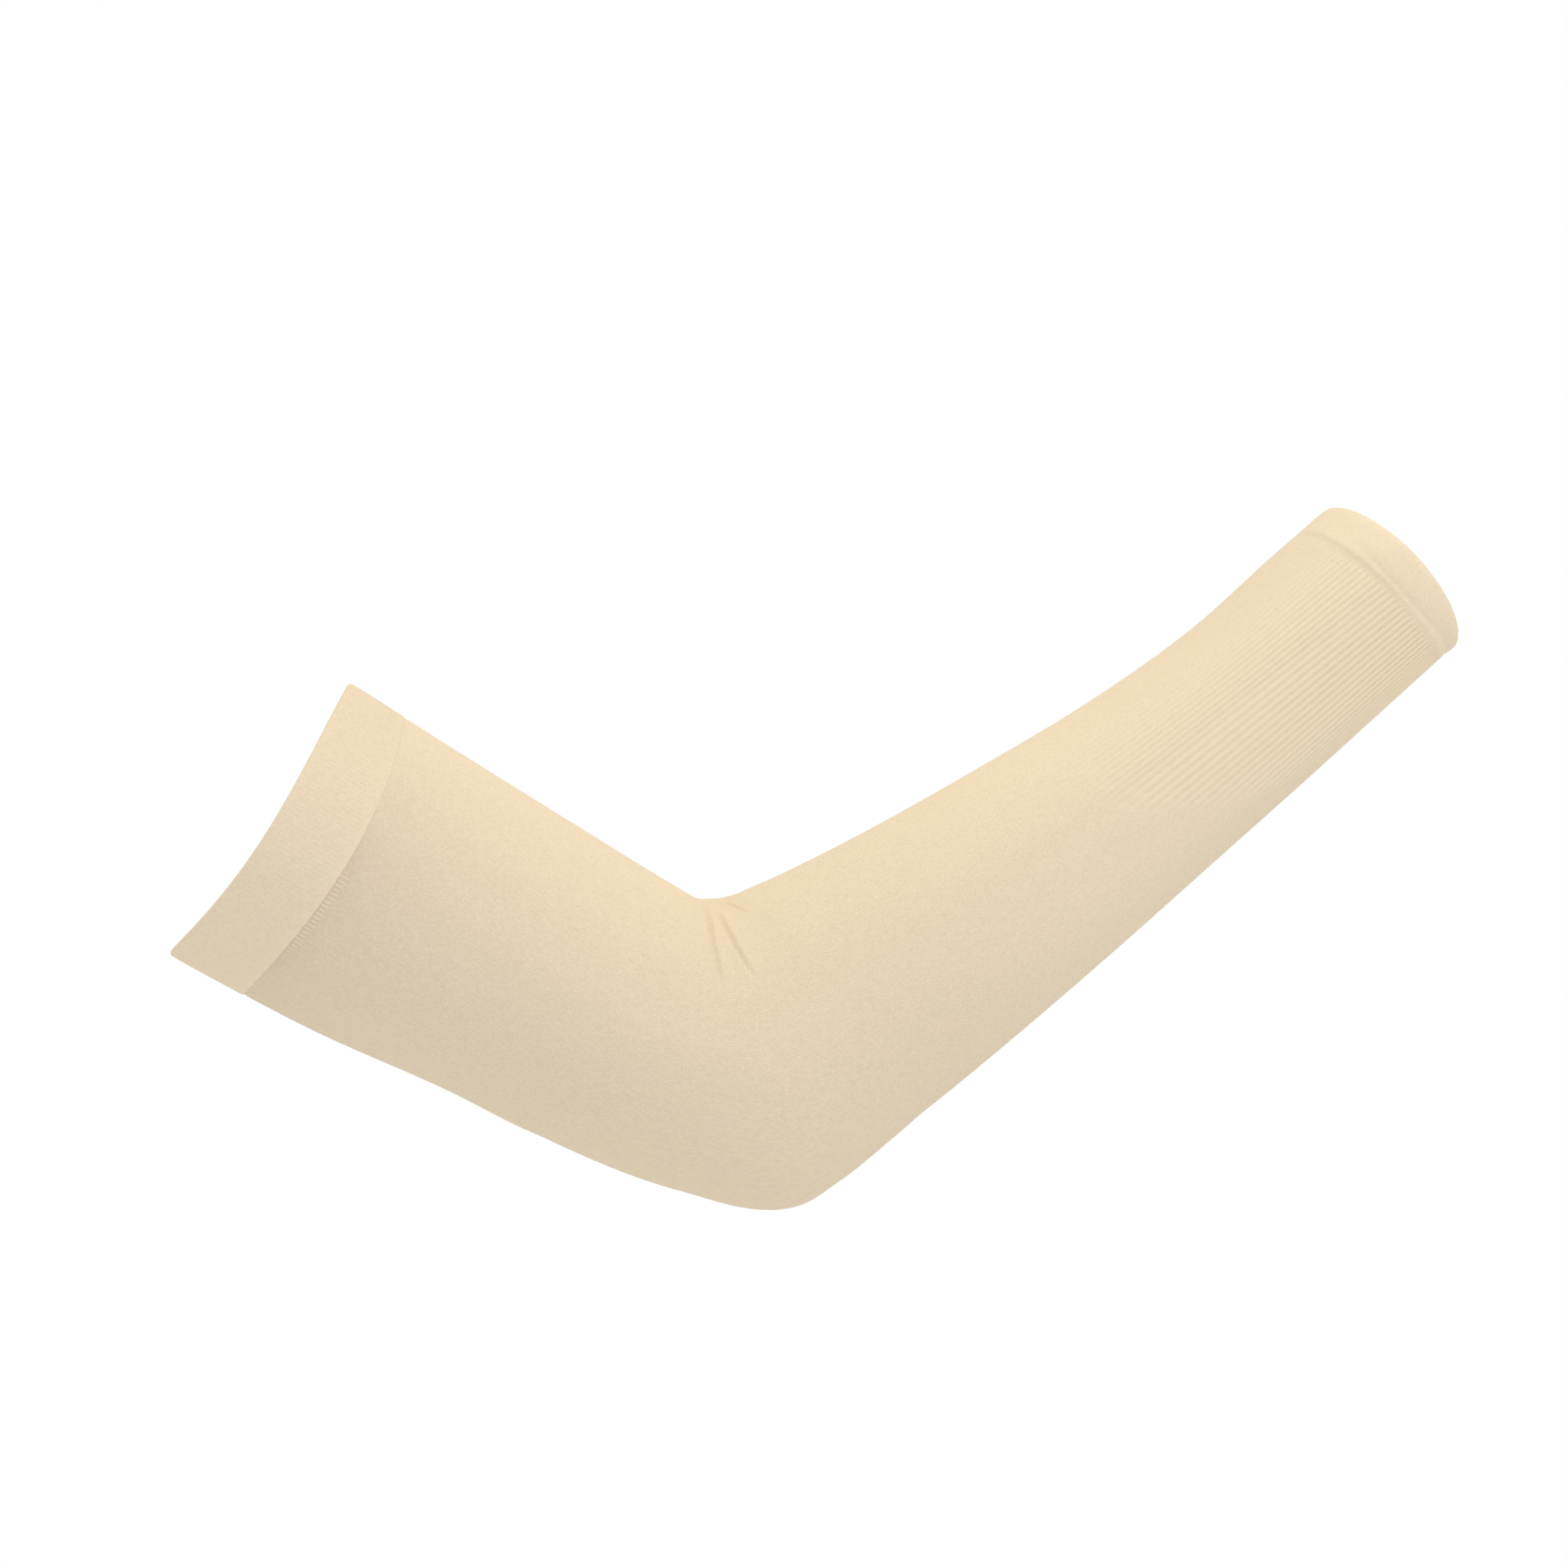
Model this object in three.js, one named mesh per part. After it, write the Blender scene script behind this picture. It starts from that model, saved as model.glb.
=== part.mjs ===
// A knitted arm sleeve in its worn form: one seamless tube that bends at the elbow, closed at
// each end by a turned welt. Millimetres, +Z up. The arm lies in the XZ plane with the wrist
// towards +X, and the origin is the middle of the upper-arm opening.
import * as THREE from "three";

const { clamp, degToRad, lerp, smoothstep } = THREE.MathUtils;
const FULL_TURN = 2 * Math.PI;

// Arm line: the upper arm drops from the opening, turns at the elbow and rises along the forearm.
const UPPER_ARM_LENGTH = 122;
const UPPER_ARM_DROP = degToRad(30);
const ELBOW_RADIUS = 58;
const FOREARM_RISE = degToRad(37.5);
const ELBOW_TURN = UPPER_ARM_DROP + FOREARM_RISE;
const ELBOW_END = UPPER_ARM_LENGTH + ELBOW_RADIUS * ELBOW_TURN;

// Knit: a single layer on the tube, a doubled layer in the welts, which stand proud of it.
const BODY_WALL = 1;
const CUFF_WALL = 2;
const UPPER_CUFF_PROUD = 0.2;
const UPPER_CUFF_CROWN = 0.2;
const WRIST_CUFF_PROUD = 0;
const WRIST_CUFF_CROWN = 0.4;
const WRIST_GROOVE_DEPTH = 0.4;
const WRIST_GROOVE_WIDTH = 3;
const LINKING_GAP = 0.3;
const BODY_COLOUR = "#e9d7b6";
const CUFF_COLOUR = "#ecdaba";
const KNIT_ROUGHNESS = 0.9;

// Ribs run down the lower forearm and die out over a short run where they start.
const RIB_COUNT = 96;
const RIB_DEPTH = 0.4;
const RIB_FADE = 0.12;

// Half-widths of the arm at a distance along the arm line: towards the inside of the elbow,
// towards the point of the elbow, and across the arm.
const SECTIONS = [
  { at: 0, inner: 47.4, outer: 48.2, depth: 45 },
  { at: 45, inner: 46.2, outer: 46.3, depth: 43.5 },
  { at: 90, inner: 45.4, outer: 41.4, depth: 42 },
  { at: 110, inner: 45.1, outer: 40.3, depth: 41.3 },
  { at: 131, inner: 45.1, outer: 38.6, depth: 40.5 },
  { at: 147, inner: 46.1, outer: 41.5, depth: 39.5 },
  { at: 166, inner: 46.1, outer: 48.9, depth: 39 },
  { at: 175, inner: 46, outer: 45.5, depth: 39 },
  { at: 184, inner: 45.9, outer: 42.3, depth: 39 },
  { at: 194, inner: 44.3, outer: 41, depth: 39 },
  { at: 204, inner: 42, outer: 41, depth: 39 },
  { at: 235, inner: 36.4, outer: 40.2, depth: 38 },
  { at: 275, inner: 30.9, outer: 38.4, depth: 35 },
  { at: 315, inner: 26.5, outer: 36, depth: 31.5 },
  { at: 355, inner: 25.1, outer: 33.6, depth: 27.5 },
  { at: 390, inner: 27.7, outer: 31.2, depth: 25.5 },
  { at: 416, inner: 29.3, outer: 29.4, depth: 25 },
];

// Lines that run once round the sleeve. Each slants across the arm, from its inner to its outer
// side, dips along it on the near and far sides, and may run on sharply at the outer side.
const OUTER_RUN_SHARPNESS = 6;
const LINES = {
  upperEdge: { at: -0.3, slant: 0.9, dip: 4.6, outerRun: 0 },
  upperWelt: { at: 22.3, slant: -0.7, dip: 6.6, outerRun: 0 },
  elbowStart: { at: 118, slant: 0, dip: 0, outerRun: 0 },
  elbowEnd: { at: 196, slant: 0, dip: 0, outerRun: 0 },
  ribStart: { at: 277, slant: 0, dip: 0, outerRun: 83 },
  wristWelt: { at: 403.4, slant: -2.4, dip: 0.6, outerRun: 5.5 },
  wristEdge: { at: 416.8, slant: -2.5, dip: 1.8, outerRun: 0 },
};

// Creases that fan out from the inside of the elbow, the near side's first. The angle is taken
// round the arm from its inner side; depth and width are the size of each groove.
const FOLDS = [
  { fromAt: 162, fromAngle: 20, toAt: 177, toAngle: 34, depth: 0.6, width: 2.2 },
  { fromAt: 149, fromAngle: 29, toAt: 163.5, toAngle: 65, depth: 1.5, width: 3 },
  { fromAt: 136.5, fromAngle: 25, toAt: 149.5, toAngle: 67, depth: 1.2, width: 2.8 },
  { fromAt: 160, fromAngle: -14, toAt: 147, toAngle: -66, depth: 1.4, width: 3 },
  { fromAt: 150, fromAngle: -18, toAt: 135, toAngle: -60, depth: 1.2, width: 2.8 },
  { fromAt: 166, fromAngle: -20, toAt: 162, toAngle: -52, depth: 0.9, width: 2.6 },
];
const FOLD_SEGMENTS = 5;
const FOLD_SHOULDER = 1.2;

// Facets: vertices round a plain ring, closer together on the inner side where the creases are.
const PLAIN_AROUND = 52;
const RIBBED_AROUND = 2 * RIB_COUNT;
const INNER_SIDE_CROWDING = 0.4;
const UPPER_STEPS = 5;
const ELBOW_STEPS = 18;
const FOREARM_STEPS = 5;
const RIB_STEPS = [0, RIB_FADE, 0.4, 0.7, 1];
const CUFF_STEPS = [0, 0.3, 0.65, 0.92];

// The arm line's point at a distance, with its own direction and the direction of the inner side.
const downUpperArm = new THREE.Vector3(Math.cos(UPPER_ARM_DROP), 0, -Math.sin(UPPER_ARM_DROP));
const acrossUpperArm = new THREE.Vector3(Math.sin(UPPER_ARM_DROP), 0, Math.cos(UPPER_ARM_DROP));
const elbowCentre = new THREE.Vector3()
  .addScaledVector(downUpperArm, UPPER_ARM_LENGTH)
  .addScaledVector(acrossUpperArm, ELBOW_RADIUS);

function armLine(at) {
  const turned = clamp((at - UPPER_ARM_LENGTH) / ELBOW_RADIUS, 0, ELBOW_TURN);
  const heading = turned - UPPER_ARM_DROP;
  const along = new THREE.Vector3(Math.cos(heading), 0, Math.sin(heading));
  const inward = new THREE.Vector3(-Math.sin(heading), 0, Math.cos(heading));
  const straight = Math.min(at - UPPER_ARM_LENGTH, 0) + Math.max(at - ELBOW_END, 0);
  const point = elbowCentre.clone();
  point.addScaledVector(inward, -ELBOW_RADIUS);
  point.addScaledVector(along, straight);
  return { point, inward };
}

const sectionWidths = SECTIONS.map(({ inner, outer, depth }) => [inner, outer, depth]);
const sectionSpline = new THREE.CubicInterpolant(
  SECTIONS.map(({ at }) => at),
  sectionWidths.flat(),
  sectionWidths[0].length,
);

// A point of the arm's skin, lifted off it by some millimetres.
function skin(at, angle, lift = 0) {
  const { point, inward } = armLine(at);
  const [inner, outer, depth] = sectionSpline.evaluate(at);
  const half = Math.cos(angle) > 0 ? inner : outer;
  const normal = new THREE.Vector2(Math.cos(angle) / half, Math.sin(angle) / depth).normalize();
  point.addScaledVector(inward, half * Math.cos(angle) + lift * normal.x);
  point.y = -depth * Math.sin(angle) - lift * normal.y;
  return point;
}

function lineAt({ at, slant, dip, outerRun }, angle) {
  const run = outerRun * Math.sin(angle / 2) ** OUTER_RUN_SHARPNESS;
  return at + slant * Math.cos(angle) + dip * Math.sin(angle) ** 2 + run;
}

// Each crease as a chain of short straight stretches on the skin.
const creases = FOLDS.map(({ fromAt, fromAngle, toAt, toAngle, depth, width }) => {
  const points = Array.from({ length: FOLD_SEGMENTS + 1 }, (_, i) => {
    const share = i / FOLD_SEGMENTS;
    return skin(lerp(fromAt, toAt, share), degToRad(lerp(fromAngle, toAngle, share)));
  });
  const stretches = points.slice(1).map((end, i) => new THREE.Line3(points[i], end));
  return { stretches, depth, width };
});

// A crease is a groove with low shoulders, deepest in the middle of its length.
function creaseLift(point) {
  let lift = 0;
  for (const { stretches, depth, width } of creases) {
    let nearest = { distance: Infinity, share: 0 };
    stretches.forEach((stretch, i) => {
      const distance = stretch.closestPointToPoint(point, true, new THREE.Vector3()).distanceTo(point);
      const share = (i + stretch.closestPointToPointParameter(point, true)) / FOLD_SEGMENTS;
      if (distance < nearest.distance) nearest = { distance, share };
    });
    const across = (nearest.distance / width) ** 2;
    lift += depth * Math.sin(Math.PI * nearest.share) * (FOLD_SHOULDER * across - 1) * Math.exp(-across);
  }
  return lift;
}

const moved = (line, by) => ({ ...line, at: line.at + by });
const wristGroove = moved(LINES.wristWelt, -WRIST_GROOVE_WIDTH);

function grooveLift(at, angle) {
  const groove = lineAt(wristGroove, angle);
  return -WRIST_GROOVE_DEPTH * smoothstep(at, groove, groove + WRIST_GROOVE_WIDTH);
}

function ribLift(at, angle) {
  const start = lineAt(LINES.ribStart, angle);
  const share = (at - start) / (lineAt(wristGroove, angle) - start);
  const valley = 0.5 - 0.5 * Math.cos(RIB_COUNT * angle);
  return -RIB_DEPTH * smoothstep(share, 0, RIB_FADE) * valley;
}

const plainAngles = Array.from({ length: PLAIN_AROUND }, (_, i) => {
  const turn = (FULL_TURN * i) / PLAIN_AROUND;
  return turn - INNER_SIDE_CROWDING * Math.sin(turn);
});
const ribbedAngles = Array.from({ length: RIBBED_AROUND }, (_, i) => (FULL_TURN * i) / RIBBED_AROUND);

// A ring of the knit between two lines, a share of the way from one to the other.
function ring(angles, from, to, share, liftAt) {
  const points = angles.map((angle) => {
    const at = lerp(lineAt(from, angle), lineAt(to, angle), share);
    return skin(at, angle, liftAt(at, angle));
  });
  return { angles, points };
}

// Fills the strip between two rings, stepping along whichever ring is behind.
function strip(first, second, firstStart, secondStart) {
  const triangles = [];
  const angleOf = ({ angles }, i) => (i < angles.length ? angles[i] : FULL_TURN);
  const vertexOf = ({ points }, start, i) => start + (i % points.length);
  let i = 0;
  let j = 0;
  while (i < first.points.length || j < second.points.length) {
    const firstNext = i < first.points.length ? angleOf(first, i + 1) : Infinity;
    const secondNext = j < second.points.length ? angleOf(second, j + 1) : Infinity;
    const a = vertexOf(first, firstStart, i);
    const b = vertexOf(second, secondStart, j);
    if (firstNext <= secondNext) {
      i += 1;
      triangles.push(b, a, vertexOf(first, firstStart, i));
    } else {
      j += 1;
      triangles.push(b, a, vertexOf(second, secondStart, j));
    }
  }
  return triangles;
}

// A closed wall: the rings go along its outside and come back along its inside.
function knitPiece(name, rings, colour) {
  const starts = [];
  const positions = [];
  for (const { points } of rings) {
    starts.push(positions.length / 3);
    points.forEach((point) => positions.push(...point.toArray()));
  }
  const index = rings.flatMap((here, i) => {
    const next = (i + 1) % rings.length;
    return strip(here, rings[next], starts[i], starts[next]);
  });
  const geometry = new THREE.BufferGeometry();
  geometry.setAttribute("position", new THREE.Float32BufferAttribute(positions, 3));
  geometry.setIndex(index);
  geometry.computeVertexNormals();
  const knit = new THREE.MeshStandardMaterial({ color: colour, roughness: KNIT_ROUGHNESS, metalness: 0 });
  const mesh = new THREE.Mesh(geometry, knit);
  mesh.name = name;
  return mesh;
}

const steps = (count) => Array.from({ length: count }, (_, i) => i / count);

// Tube: plain upper arm, creased elbow, plain forearm, then the ribs down to the wrist's groove.
function sleeveBody() {
  const start = moved(LINES.upperWelt, LINKING_GAP / 2);
  const end = moved(LINES.wristWelt, -LINKING_GAP / 2);
  const bands = [
    { from: start, to: LINES.elbowStart, shares: steps(UPPER_STEPS), outside: plainAngles },
    { from: LINES.elbowStart, to: LINES.elbowEnd, shares: steps(ELBOW_STEPS), outside: plainAngles },
    { from: LINES.elbowEnd, to: LINES.ribStart, shares: steps(FOREARM_STEPS), outside: plainAngles },
    { from: LINES.ribStart, to: wristGroove, shares: RIB_STEPS, outside: ribbedAngles },
    { from: end, to: end, shares: [0], outside: ribbedAngles },
  ];
  const shape = (at, angle) => creaseLift(skin(at, angle)) + grooveLift(at, angle);
  const outside = (at, angle) => shape(at, angle) + ribLift(at, angle);
  const inside = (at, angle) => shape(at, angle) - BODY_WALL;
  const rings = bands.flatMap((band) =>
    band.shares.map((share) => ring(band.outside, band.from, band.to, share, outside)),
  );
  const lining = bands.flatMap((band) =>
    band.shares.map((share) => ring(plainAngles, band.from, band.to, share, inside)),
  );
  return knitPiece("sleeve_body", [...rings, ...lining.reverse()], BODY_COLOUR);
}

// Welt: a doubled band from its linking line to a rounded edge at the opening.
function cuff(name, linked, edge, proud, crown) {
  const outside = (share) => proud + crown * Math.sin(Math.PI * share);
  const rings = CUFF_STEPS.map((share) => ring(plainAngles, linked, edge, share, () => outside(share)));
  rings.push(ring(plainAngles, linked, edge, 1, () => proud - CUFF_WALL / 2));
  const lining = CUFF_STEPS.map((share) => ring(plainAngles, linked, edge, share, () => proud - CUFF_WALL));
  const loop = [...rings, ...lining.reverse()];
  return knitPiece(name, edge.at > linked.at ? loop : loop.reverse(), CUFF_COLOUR);
}

const sleeve = new THREE.Group();
const upperLinked = moved(LINES.upperWelt, -LINKING_GAP / 2);
const wristLinked = moved(LINES.wristWelt, LINKING_GAP / 2);
sleeve.add(
  sleeveBody(),
  cuff("upper_cuff", upperLinked, LINES.upperEdge, UPPER_CUFF_PROUD, UPPER_CUFF_CROWN),
  cuff("wrist_cuff", wristLinked, LINES.wristEdge, WRIST_CUFF_PROUD, WRIST_CUFF_CROWN),
);

export default sleeve;
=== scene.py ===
import math

import bpy
import numpy as np
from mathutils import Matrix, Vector


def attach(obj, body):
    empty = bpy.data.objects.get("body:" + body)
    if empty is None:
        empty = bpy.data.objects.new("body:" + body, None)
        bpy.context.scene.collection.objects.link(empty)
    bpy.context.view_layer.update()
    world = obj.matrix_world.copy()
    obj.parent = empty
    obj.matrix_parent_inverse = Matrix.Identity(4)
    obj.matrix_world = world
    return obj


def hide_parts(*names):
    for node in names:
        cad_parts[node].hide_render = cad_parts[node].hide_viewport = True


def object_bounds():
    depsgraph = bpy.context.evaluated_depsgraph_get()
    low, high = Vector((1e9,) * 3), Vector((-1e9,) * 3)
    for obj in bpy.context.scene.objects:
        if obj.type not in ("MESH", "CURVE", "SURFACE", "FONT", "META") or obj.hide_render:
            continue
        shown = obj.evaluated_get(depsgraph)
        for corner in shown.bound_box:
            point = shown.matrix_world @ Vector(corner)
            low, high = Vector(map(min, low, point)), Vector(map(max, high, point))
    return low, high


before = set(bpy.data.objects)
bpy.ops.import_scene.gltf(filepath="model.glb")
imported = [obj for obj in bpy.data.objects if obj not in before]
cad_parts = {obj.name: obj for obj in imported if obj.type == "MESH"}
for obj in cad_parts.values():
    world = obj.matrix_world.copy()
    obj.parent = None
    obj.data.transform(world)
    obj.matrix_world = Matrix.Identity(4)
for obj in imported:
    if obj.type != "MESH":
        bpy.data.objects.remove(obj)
cad_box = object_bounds()


# Sleeve body: one seamless tube of nylon and elastane yarn, knitted in the round and stretched on
# the arm's form. Plain jersey reaches from the upper arm past the elbow, which gathers it into
# creases on its inner side. Raised ribs take over along the forearm and run down to the wrist.
MM = 0.001

# The arm's line, in millimetres: the upper arm drops, turns at the elbow and rises to the wrist.
UPPER_ARM_LENGTH = 122
UPPER_ARM_DROP = math.radians(30)
ELBOW_RADIUS = 58
ELBOW_TURN = math.radians(67.5)
ELBOW_END = UPPER_ARM_LENGTH + ELBOW_RADIUS * ELBOW_TURN

# Half-widths of the arm at a distance along its line: towards the inner side of the elbow,
# towards its point, and across the arm.
SECTIONS = np.array([
    (0, 47.4, 48.2, 45),
    (45, 46.2, 46.3, 43.5),
    (90, 45.4, 41.4, 42),
    (110, 45.1, 40.3, 41.3),
    (131, 45.3, 38.6, 40.5),
    (147, 46.1, 41.5, 39.5),
    (166, 46.1, 48.9, 39),
    (175, 46, 45.5, 39),
    (184, 45.6, 42.3, 39),
    (190, 45.2, 41.3, 39),
    (193, 44.6, 41.1, 39),
    (204, 42, 41, 39),
    (235, 36.4, 40.2, 38),
    (275, 30.9, 38.4, 35),
    (315, 26.5, 36, 31.5),
    (355, 25.1, 33.6, 27.5),
    (390, 27.7, 31.2, 25.5),
    (416, 29.3, 29.4, 25),
])


def half_widths(at):
    """The arm's inner, outer and across half-widths at a distance along its line."""
    stop, width = SECTIONS[:, 0], SECTIONS[:, 1:]
    chord = np.diff(width, axis=0) / np.diff(stop)[:, None]
    slope = np.vstack([chord[:1], (chord[:-1] + chord[1:]) / 2, chord[-1:]])
    i = np.clip(np.searchsorted(stop, at, side="right") - 1, 0, len(stop) - 2)
    run = (stop[i + 1] - stop[i])[..., None]
    t = np.clip((at - stop[i])[..., None] / run, 0, 1)
    rise = (3 - 2 * t) * t**2
    bend = (t - 1) ** 2 * t * slope[i] + (t - 1) * t**2 * slope[i + 1]
    return width[i] + rise * (width[i + 1] - width[i]) + run * bend


def skin(at, angle, lift=0):
    """Points of the arm's form in metres. The angle goes from its inner to its near side."""
    at, angle, lift = np.broadcast_arrays(np.asarray(at, float), angle, lift)
    heading = np.clip((at - UPPER_ARM_LENGTH) / ELBOW_RADIUS, 0, ELBOW_TURN) - UPPER_ARM_DROP
    straight = np.minimum(at - UPPER_ARM_LENGTH, 0) + np.maximum(at - ELBOW_END, 0)
    inner, outer, across = np.moveaxis(half_widths(at), -1, 0)
    half = np.where(np.cos(angle) > 0, inner, outer)
    normal = np.stack([np.cos(angle) / half, np.sin(angle) / across])
    normal /= np.linalg.norm(normal, axis=0)
    out = half * np.cos(angle) + lift * normal[0] - ELBOW_RADIUS
    drop_x, drop_z = math.cos(UPPER_ARM_DROP), math.sin(UPPER_ARM_DROP)
    x = UPPER_ARM_LENGTH * drop_x + ELBOW_RADIUS * drop_z
    z = ELBOW_RADIUS * drop_x - UPPER_ARM_LENGTH * drop_z
    x = x + np.cos(heading) * straight - np.sin(heading) * out
    z = z + np.sin(heading) * straight + np.cos(heading) * out
    y = -across * np.sin(angle) - lift * normal[1]
    return MM * np.stack([x, y, z], axis=-1)


# Lines once round the sleeve: distance along the arm, slant from the inner to the outer side, dip
# on the near and far sides, and a sharp run down the outer side.
UPPER_EDGE = (9.8, -7.7, -2.8, -19.4)
UPPER_WELT = (22.3, -0.7, 6.6, 0)
ELBOW_START = (118, 0, 0, 0)
CREASE_START = (134, 0, 0, 0)
CREASE_STOP = (168, 0, 0, 0)
ELBOW_STOP = (196, 0, 0, 0)
RIB_START = (277, 0, 0, 83)
WRIST_WELT = (403.4, -2.4, 0.6, 5.5)
WRIST_EDGE = (417.8, -2.5, 1.3, 0)
OUTER_RUN_SHARPNESS = 6


def line_at(line, angle):
    """Distance along the arm of a line once round it, at an angle."""
    at, slant, dip, outer_run = line
    run = outer_run * np.sin(angle / 2) ** OUTER_RUN_SHARPNESS
    return at + slant * np.cos(angle) + dip * np.sin(angle) ** 2 + run


def moved(line, by):
    """The same line, further along the arm."""
    return (line[0] + by, *line[1:])


def rows_between(first, second, shares, angle):
    """One row of distances along the arm for each share of the way between two lines."""
    start, stop = line_at(first, angle), line_at(second, angle)
    return start + np.asarray(shares)[:, None] * (stop - start)


def ease(low, high, value):
    """A smooth step, from 0 at low to 1 at high."""
    t = np.clip((value - low) / (high - low), 0, 1)
    return t * t * (3 - 2 * t)


# Creases of the inner elbow, the near side's first: where each starts and stops, along the arm in
# millimetres and round it in degrees, then its depth and width.
CREASES = (
    (159, 15, 179, 34, 0.35, 1.2),
    (147, 22.4, 164.6, 67.4, 0.65, 1.2),
    (135.5, 18, 150, 71, 0.6, 1.2),
    (160, -14, 147, -66, 0.6, 1.3),
    (150, -18, 135, -60, 0.55, 1.2),
    (166, -20, 162, -52, 0.4, 1.2),
)
CREASE_STRETCHES = 5
CREASE_SHOULDER = 1.5
CREASE_FADE = 0.3


def crease_lift(at, angle):
    """Each crease is a groove with low shoulders that fades out at both its ends."""
    place = skin(at, angle) / MM
    lift = np.zeros(at.shape)
    for from_at, from_angle, to_at, to_angle, depth, width in CREASES:
        share = np.linspace(0, 1, CREASE_STRETCHES + 1)
        turned = np.radians(from_angle + share * (to_angle - from_angle))
        route = skin(from_at + share * (to_at - from_at), turned) / MM
        nearest = np.full(at.shape, np.inf)
        reached = np.zeros(at.shape)
        for i, start in enumerate(route[:-1]):
            run = route[i + 1] - start
            t = np.clip((place - start) @ run / (run @ run), 0, 1)
            distance = np.linalg.norm(place - start - t[..., None] * run, axis=-1)
            reached = np.where(distance < nearest, (i + t) / CREASE_STRETCHES, reached)
            nearest = np.minimum(distance, nearest)
        across = (nearest / width) ** 2
        deep = depth * ease(0, CREASE_FADE, reached) * ease(1, 1 - CREASE_FADE, reached)
        lift += deep * (CREASE_SHOULDER * across - 1) * np.exp(-across)
    return lift


def knit_wall(name, at, lift, angle, **marks):
    """A closed wall of knit from rows that go along its outside and come back along its inside.

    Each point keeps its turn round the arm and any other marks, and the map called Knit holds the
    turn and the metres along the arm."""
    rows, around = at.shape
    corner = np.arange(rows * around).reshape(rows, around)
    below = np.roll(corner, -1, axis=0)
    beside, across = np.roll(corner, -1, axis=1), np.roll(below, -1, axis=1)
    quads = np.stack([corner, beside, across, below], axis=-1)
    mesh = bpy.data.meshes.new(name)
    mesh.from_pydata(skin(at, angle, lift).reshape(-1, 3), [], quads.reshape(-1, 4))
    turn = np.broadcast_to(np.arange(around) / around, at.shape)
    for label, values in {"turn": turn, **marks}.items():
        values = np.broadcast_to(values, at.shape).ravel()
        mesh.attributes.new(label, "FLOAT", "POINT").data.foreach_set("value", values)
    along = np.take(at.ravel() * MM, quads)
    turned = turn[..., None] + np.array([0, 1, 1, 0]) / around
    knit_map = mesh.uv_layers.new(name="Knit")
    knit_map.data.foreach_set("uv", np.stack([turned, along], axis=-1).ravel())
    mesh.shade_smooth()
    piece = bpy.data.objects.new(name, mesh)
    bpy.context.scene.collection.objects.link(piece)
    return piece


def add_node(tree, kind, inputs=None, **settings):
    """A node with its settings made, and each input set or linked by its name or number."""
    node = tree.nodes.new(kind)
    for name, value in settings.items():
        setattr(node, name, value)
    for key, value in (inputs or {}).items():
        if isinstance(value, bpy.types.NodeSocket):
            tree.links.new(value, node.inputs[key])
        else:
            node.inputs[key].default_value = value
    return node


def maths(tree, operation, *values):
    """The result of one sum in a tree."""
    return add_node(tree, "ShaderNodeMath", dict(enumerate(values)), operation=operation).outputs[0]


def read_mark(tree, label, kind="FLOAT"):
    """What each point keeps under a label."""
    mark = add_node(tree, "GeometryNodeInputNamedAttribute", {"Name": label}, data_type=kind)
    return mark.outputs["Attribute"]


def add_sockets(tree, way, sockets):
    """A tree's inputs or outputs, by their labels and kinds."""
    for label, kind in sockets.items():
        tree.interface.new_socket(label, in_out=way, socket_type="NodeSocket" + kind)


# The rib tree sinks the valleys between the ribs, by each point's turn and rib strength. Ribs are
# rounder and wider than the valleys.
RIB_SHARPNESS = 1.5
rib_tree = bpy.data.node_groups.new("raised_ribs", "GeometryNodeTree")
rib_sockets = {"Knit": "Geometry", "Rib Count": "Int", "Rib Depth": "Float", "Yarn": "Material"}
add_sockets(rib_tree, "INPUT", rib_sockets)
add_sockets(rib_tree, "OUTPUT", {"Knit": "Geometry"})
rib_in = rib_tree.nodes.new("NodeGroupInput").outputs
rib_phase = maths(rib_tree, "MULTIPLY", rib_in["Rib Count"], read_mark(rib_tree, "turn"))
rib_wave = maths(rib_tree, "COSINE", maths(rib_tree, "MULTIPLY", rib_phase, 2 * math.pi))
rib_valley = maths(rib_tree, "MULTIPLY_ADD", rib_wave, -0.5, 0.5)
rib_valley = maths(rib_tree, "POWER", rib_valley, RIB_SHARPNESS)
rib_sink = maths(rib_tree, "MULTIPLY", rib_valley, read_mark(rib_tree, "rib"))
rib_inward = maths(rib_tree, "MULTIPLY", rib_in["Rib Depth"], -1)
rib_sink = maths(rib_tree, "MULTIPLY", rib_sink, rib_inward)
rib_normal = rib_tree.nodes.new("GeometryNodeInputNormal").outputs["Normal"]
rib_move = {0: rib_normal, "Scale": rib_sink}
rib_move = add_node(rib_tree, "ShaderNodeVectorMath", rib_move, operation="SCALE")
rib_shape = {"Geometry": rib_in["Knit"], "Offset": rib_move.outputs["Vector"]}
rib_shape = add_node(rib_tree, "GeometryNodeSetPosition", rib_shape).outputs["Geometry"]
rib_real = add_node(rib_tree, "GeometryNodeRealizeInstances", {"Geometry": rib_shape})
rib_dressed = {"Geometry": rib_real.outputs["Geometry"], "Material": rib_in["Yarn"]}
rib_dressed = add_node(rib_tree, "GeometryNodeSetMaterial", rib_dressed).outputs["Geometry"]
add_node(rib_tree, "NodeGroupOutput", {"Knit": rib_dressed})


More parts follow.
